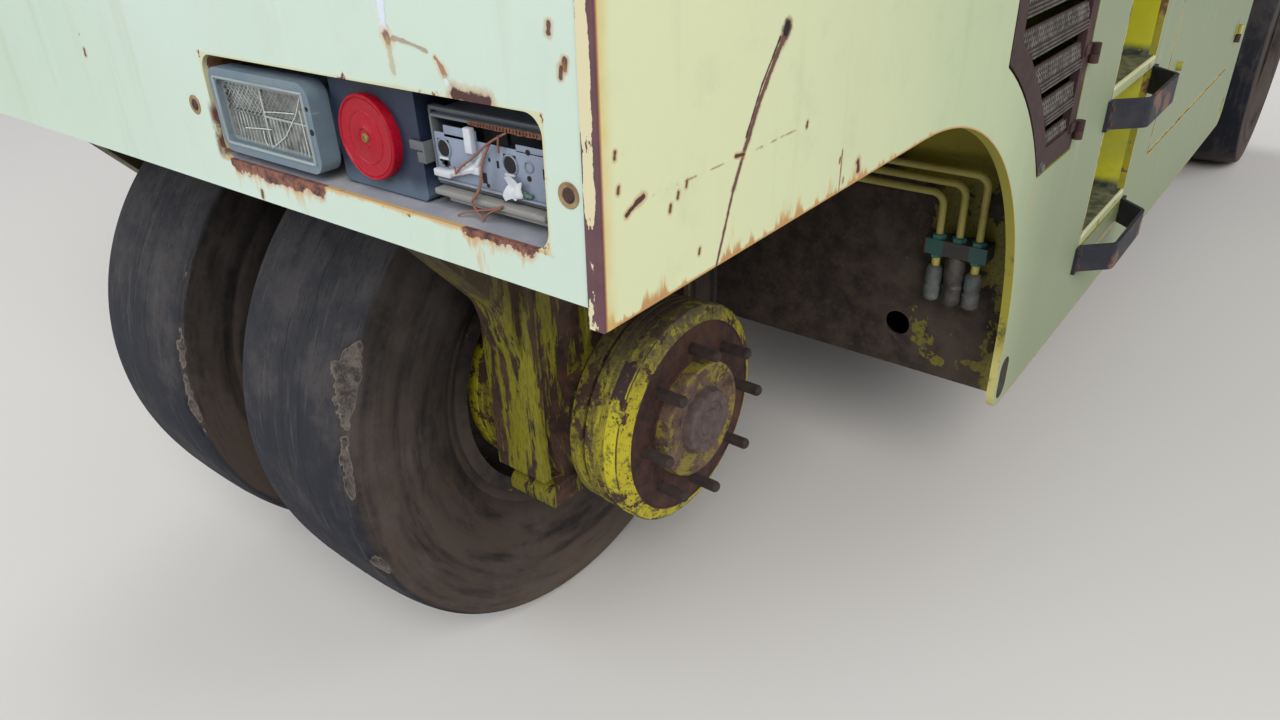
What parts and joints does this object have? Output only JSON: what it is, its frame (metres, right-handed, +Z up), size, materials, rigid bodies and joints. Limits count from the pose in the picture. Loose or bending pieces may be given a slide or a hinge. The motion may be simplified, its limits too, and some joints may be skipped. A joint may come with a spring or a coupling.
{
  "type": "pneumatic-tyred road roller",
  "caption": "Smooth-tyred road roller with side steps, louvred doors, canopy, rear hood and bare studded hubs where outer rear wheels are missing.",
  "frame": {"origin": "on the ground under the middle of the body", "axes": "+X forward, +Y to the machine's left, +Z up"},
  "size_m": [5.2, 2.04, 2.99],
  "materials": {
    "side_paint": "faded",
    "rear_paint": "faded",
    "bright_paint": "gloss",
    "deck_paint": "matt",
    "chassis_paint": "worn",
    "axle_paint": "worn",
    "rim_paint": "worn",
    "grille_brown": "rusted",
    "rusty_steel": "rusted",
    "pipe_steel": "worn",
    "engine_iron": "dusty",
    "recess_grey": "dusty",
    "lamp_housing": "worn",
    "grey_plastic": "broken",
    "red_lens": "gloss",
    "black_plastic": "satin",
    "guard_rubber": "worn",
    "seat_cover": "worn",
    "lens": "clear",
    "tyre": "dusty"
  },
  "bodies": {
    "body": {"axle_brackets": "axle_paint", "belly_plate": "chassis_paint", "bulkhead_pipes": "pipe_steel", "canopy_frame": "bright_paint", "canopy_roof": "rear_paint", "console": "deck_paint", "deck": "deck_paint", "door_hinges": "rusty_steel", "engine": "engine_iron", "exhaust_stack": "rusty_steel", "front_cover": "side_paint", "front_panel": "rear_paint", "front_wheelhouse": "chassis_paint", "handrails": "bright_paint", "headlamps": "lens", "ladder_recesses": "bright_paint", "lamp_recesses": "recess_grey", "lockers": "bright_paint", "rear_cowl": "rear_paint", "rear_panel": "rear_paint", "rear_wheelhouse": "chassis_paint", "reflector_mounts": "lamp_housing", "reflectors": "red_lens", "seat": "seat_cover", "seat_base": "deck_paint", "side_plate_left": "side_paint", "side_plate_right": "side_paint", "step_guards": "guard_rubber", "tail_lamp_bases": "grey_plastic", "tow_clevis": "rusty_steel", "work_lamp_lenses": "lens", "work_lamps": "lamp_housing"},
    "engine_hood": {"engine_hood": "rear_paint"},
    "grille_door_right": {"grille_door_right": "grille_brown"},
    "grille_door_left": {"grille_door_left": "grille_brown"},
    "access_door_right": {"access_door_right": "side_paint"},
    "access_door_left": {"access_door_left": "side_paint"},
    "steering_wheel": {"steering_wheel": "black_plastic"},
    "rear_wheel_right": {"rear_hub_right": "axle_paint", "rear_rim_right": "rim_paint", "rear_tyre_right": "tyre"},
    "front_leg_right": {"front_leg_right": "axle_paint"},
    "front_wheels_right": {"front_hub_right": "axle_paint", "front_rims_right": "rim_paint", "front_tyres_right": "tyre"},
    "rear_wheel_left": {"rear_hub_left": "axle_paint", "rear_rim_left": "rim_paint", "rear_tyre_left": "tyre"},
    "front_leg_left": {"front_leg_left": "axle_paint"},
    "front_wheels_left": {"front_hub_left": "axle_paint", "front_rims_left": "rim_paint", "front_tyres_left": "tyre"}
  },
  "joints": [
    {"name": "rear_wheel_right", "type": "hinge", "parent": "body", "child": "rear_wheel_right", "pos_m": [-1.975, -0.4, 0.525], "axis": [0, 1, 0], "continuous": true},
    {"name": "rear_wheel_left", "type": "hinge", "parent": "body", "child": "rear_wheel_left", "pos_m": [-1.975, 0.6, 0.525], "axis": [0, 1, 0], "continuous": true},
    {"name": "front_steer_right", "type": "hinge", "parent": "body", "child": "front_leg_right", "pos_m": [2, -0.6, 1.2], "axis": [0, 0, 1], "range_deg": [-30, 30]},
    {"name": "front_wheels_right", "type": "hinge", "parent": "front_leg_right", "child": "front_wheels_right", "pos_m": [2, -0.6, 0.525], "axis": [0, 1, 0], "continuous": true},
    {"name": "front_steer_left", "type": "hinge", "parent": "body", "child": "front_leg_left", "pos_m": [2, 0.4, 1.2], "axis": [0, 0, 1], "range_deg": [-30, 30]},
    {"name": "front_wheels_left", "type": "hinge", "parent": "front_leg_left", "child": "front_wheels_left", "pos_m": [2, 0.4, 0.525], "axis": [0, 1, 0], "continuous": true},
    {"name": "engine_hood", "type": "hinge", "parent": "body", "child": "engine_hood", "pos_m": [-2.5863, 0, 1.61], "axis": [0, -1, 0], "range_deg": [0, 50]},
    {"name": "grille_door_right", "type": "hinge", "parent": "body", "child": "grille_door_right", "pos_m": [-1.2125, -0.959, 1.17], "axis": [0, 0, 1], "range_deg": [0, 105]},
    {"name": "access_door_right", "type": "hinge", "parent": "body", "child": "access_door_right", "pos_m": [0.9065, -0.959, 1.06], "axis": [0, 0, 1], "range_deg": [0, 105]},
    {"name": "grille_door_left", "type": "hinge", "parent": "body", "child": "grille_door_left", "pos_m": [-1.2125, 0.959, 1.17], "axis": [0, 0, -1], "range_deg": [0, 105]},
    {"name": "access_door_left", "type": "hinge", "parent": "body", "child": "access_door_left", "pos_m": [0.9065, 0.959, 1.06], "axis": [0, 0, -1], "range_deg": [0, 105]},
    {"name": "steering_wheel", "type": "hinge", "parent": "body", "child": "steering_wheel", "pos_m": [0.01, 0, 2.42], "axis": [-0.4695, 0, 0.8829], "range_deg": [-450, 450]}
  ],
  "couplings": [
    {"joint": "front_steer_left", "follows": "front_steer_right", "ratio": 1},
    {"joint": "steering_wheel", "follows": "front_steer_right", "ratio": 15}
  ]
}
